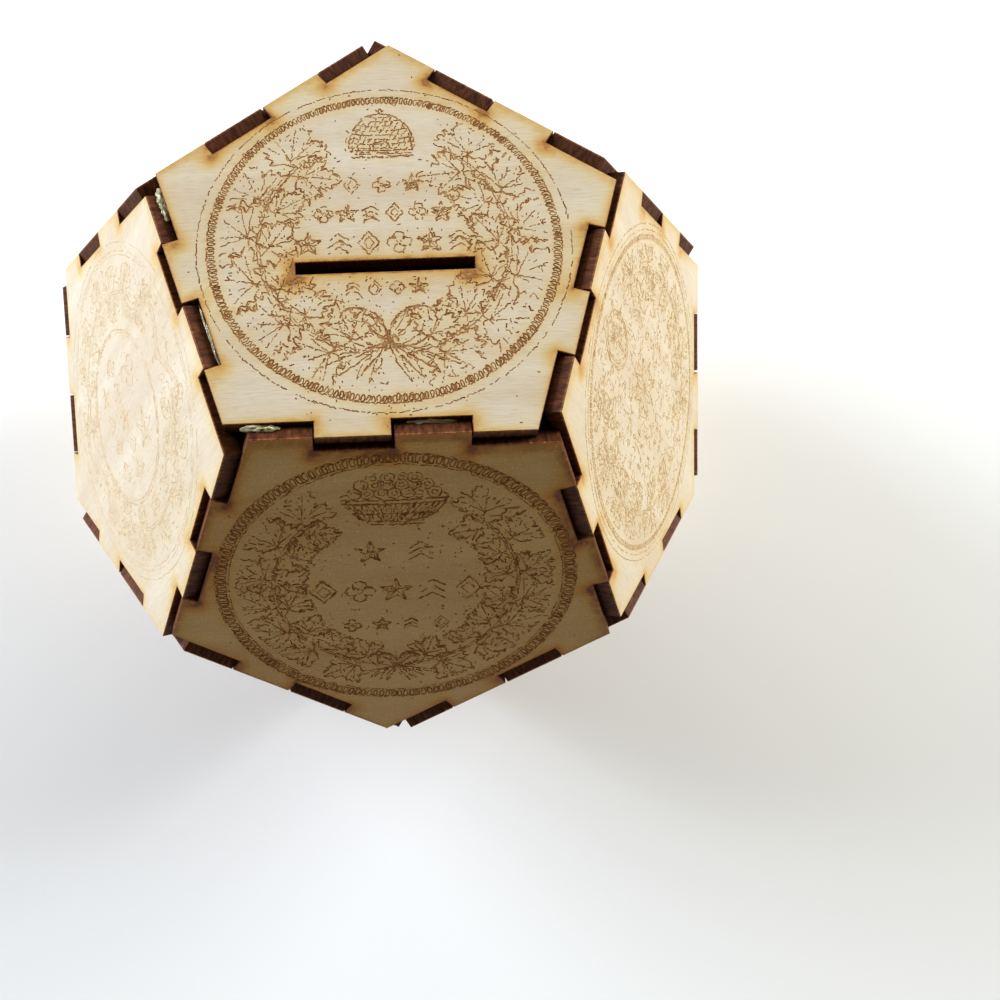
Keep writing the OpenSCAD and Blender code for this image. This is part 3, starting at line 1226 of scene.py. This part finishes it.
def plug_profile(flange, depth):
    """The plug's section as (radius, height, fillet), from the flange's outer face inwards:
    finger cup, flange, stiffening rim, collar with two gripping beads, and the inside."""
    wall = 1.2
    plate, rim_w, rim_h = 1.5, 1.3, 2.6
    collar, collar_h = 14.15, 6.9
    bead, bead_h = 14.4, 0.8
    mouth, waist, floor_r = 11.5, 8.2, 6.5
    waist_depth = 3.6
    corners = [
        (0, depth - wall, 0),
        (floor_r, depth - wall, 1.3),
        (waist, waist_depth, 0.4),
        (mouth, 0, 0.35),
        (flange, 0, 0.4),
        (flange, rim_h, 0.25),
        (flange - rim_w, rim_h, 0.25),
        (flange - rim_w, plate, 0.3),
        (collar, plate, 0.3),
    ]
    for level in (3.1, 4.3):
        corners += [(collar, level, 0.1), (bead, level + bead_h / 2, 0.2), (collar, level + bead_h, 0.1)]
    return corners + [
        (collar, collar_h, 0.3),
        (collar - wall, collar_h, 0.3),
        (collar - wall, plate, 0.0),
        (mouth + wall / 2, plate, 0.2),
        (waist + wall, waist_depth + wall / 2, 0.4),
        (floor_r + wall / 2, depth, 0.8),
        (0, depth, 0),
    ]


def make_plug():
    """The moulded plug, and the burr left on its flange."""
    face = plug_low.z / MM
    flange = (plug_high.x - plug_low.x) / 2 / MM
    depth = (plug_high.z - plug_low.z) / MM
    plastic = plug_plastic()
    profile = [(radius, height + face) for radius, height in rounded(plug_profile(flange, depth))]
    piece = lathe("white_plug", profile, plastic)
    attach(piece, "plug")
    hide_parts("plug")
    make_burr(flange, face, plastic)


def make_burr(flange, face, plastic):
    """A rough lump of moulding flash on the flange's edge."""
    size, around, rise = 0.55, 166, 0.75
    burr = bmesh.new()
    bmesh.ops.create_icosphere(burr, subdivisions=4, radius=size)
    for point in burr.verts:
        point.co *= 1 + 0.35 * mathutils_noise.noise(point.co * 3)
        spot = polar(flange + point.co.x * 0.8, around + 4 * point.co.y)
        point.co = Vector((spot[0], spot[1], face + rise + point.co.z)) * MM
    piece = lump_piece("plug_burr", burr, plastic, smooth=False)
    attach(piece, "plug")


def finish_seat_ring():
    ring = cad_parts["plug_seat_ring"]
    ring.data.materials.clear()
    ring.data.materials.append(seat_ring_ply())


# ---------- glue

# Beads in the top panel's notches: edge, start and end along it, depth from the edge's
# line, level under the face, width and thickness
GLUE_BEADS = [
    (1, 0.03, 0.17, 2.2, 1.0, 1.5, 1.3),
    (1, 0.50, 0.74, 2.55, 1.3, 0.6, 0.8),
    (2, 0.035, 0.155, 2.2, 0.9, 1.2, 1.3),
    (2, 0.54, 0.70, 2.5, 1.1, 0.7, 0.8),
    (4, 0.51, 0.60, 2.55, 1.2, 0.6, 0.8),
]


def make_glue():
    """Dried lumpy beads where glue was squeezed out of the top joints."""
    material = glue_material()
    place = panel_place(270, 90)
    corner = CORNER_PER_EDGE * EDGE
    for number, (edge, start, end, depth, level, width, thickness) in enumerate(GLUE_BEADS, start=1):
        first, last = polar(corner, 90 + STEP * edge), polar(corner, 90 + STEP * (edge + 1))
        along = (last - first) / EDGE
        inward = np.array([-along[1], along[0]])
        middle = first + along * EDGE * (start + end) / 2 + inward * depth
        shape = bmesh.new()
        bmesh.ops.create_uvsphere(shape, u_segments=48, v_segments=24, radius=1.0)
        for point in shape.verts:
            lump = mathutils_noise.noise(point.co * Vector((3.5, 1.2, 1.2)) + Vector((number * 9.3, 0, 0)))
            fine = mathutils_noise.noise(point.co * Vector((9, 3, 3)) + Vector((0, number * 7.7, 0)))
            swell = 1 + 0.75 * lump + 0.35 * fine
            x = point.co.x * (end - start) * EDGE / 2 * (1 + 0.1 * lump)
            y, z = point.co.y * width / 2 * swell, point.co.z * thickness / 2 * swell
            flat = middle + along * x + inward * y
            point.co = place @ Vector((flat[0], flat[1], z - level))
        bead = lump_piece(f"glue_bead_{number}", shape, material, smooth=True)
        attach(bead, "box")


# ---------- stage, light and camera

def make_floor():
    size = 3.0
    look = new_material("pale_floor")
    material = look.surface((0.95, 0.92, 0.83), {"Roughness": 0.9, "Specular IOR Level": 0.1})
    corners = [(-size, -size, 0), (size, -size, 0), (size, size, 0), (-size, size, 0)]
    floor = mesh_piece("floor", corners, [(0, 1, 2, 3)], [material])


def softbox(name, around, power, colour):
    """A square area light beside the box, which faces its middle."""
    rise, distance, size = 23, 0.9, 0.5
    light = bpy.data.lights.new(name, "AREA")
    light.color = colour
    light.shape = "SQUARE"
    light.size = size
    light.energy = power
    lamp = link(name, light)
    away = outward(around, rise)
    lamp.location = CENTRE * MM + away * distance
    lamp.rotation_mode = "QUATERNION"
    lamp.rotation_quaternion = (-away).to_track_quat("-Z", "Y")


def make_lights():
    """Two softboxes a little behind the sides, and a sky that is pale at the back and low
    down, so that the front panel stays in shade as in the photograph."""
    front, back, horizon = 0.035, 0.58, 0.32
    softbox("left_light", 158, 10.3, (0.95, 1.07, 1.36))
    softbox("right_light", 22, 9.3, (0.99, 1.07, 1.23))
    world = bpy.data.worlds.new("studio")
    bpy.context.scene.world = world
    sky = Nodes(world)
    aim = sky.add("SeparateXYZ", {0: sky.add("TexCoord").outputs["Generated"]})
    behind = sky.remap(aim.outputs["Y"], (-0.1, 0.6), (front, back), "SMOOTHSTEP")
    level = sky.maths("ABSOLUTE", aim.outputs["Z"])
    low_down = sky.remap(level, (0.05, 0.3), (horizon, front), "SMOOTHSTEP")
    background = world.node_tree.nodes["Background"]
    sky.feed(background.inputs["Strength"], sky.maths("MAXIMUM", behind, low_down))
    sky.feed(background.inputs["Color"], (1.0, 0.91, 0.66))
    bpy.context.scene.view_settings.view_transform = "Standard"


def make_camera():
    """The viewing angle: steeply down on the slotted panel from the front."""
    azimuth, elevation, roll = radians(1.96), radians(65.54), radians(-0.34)
    distance, drop = 4.761 * EDGE, 0.022
    sensor, pixels, focal_pixels = 36.0, 1000, 1143
    east, north = sin(azimuth), cos(azimuth)
    ahead = Vector((east * cos(elevation), north * cos(elevation), -sin(elevation)))
    right = Matrix.Rotation(-roll, 3, ahead) @ Vector((north, -east, 0))
    above = right.cross(ahead)
    data = bpy.data.cameras.new("camera")
    data.sensor_width = sensor
    data.lens = sensor * focal_pixels / pixels
    data.shift_x, data.shift_y = 0.115, -0.112
    data.clip_start = 0.01
    camera = link("camera", data)
    place = Matrix((right, above, -ahead)).transposed().to_4x4()
    place.translation = (CENTRE - ahead * distance - above * drop * EDGE) * MM
    camera.matrix_world = place
    bpy.context.scene.camera = camera


make_camera()
make_lights()
make_floor()
make_panels()
make_plug()
finish_seat_ring()
make_glue()
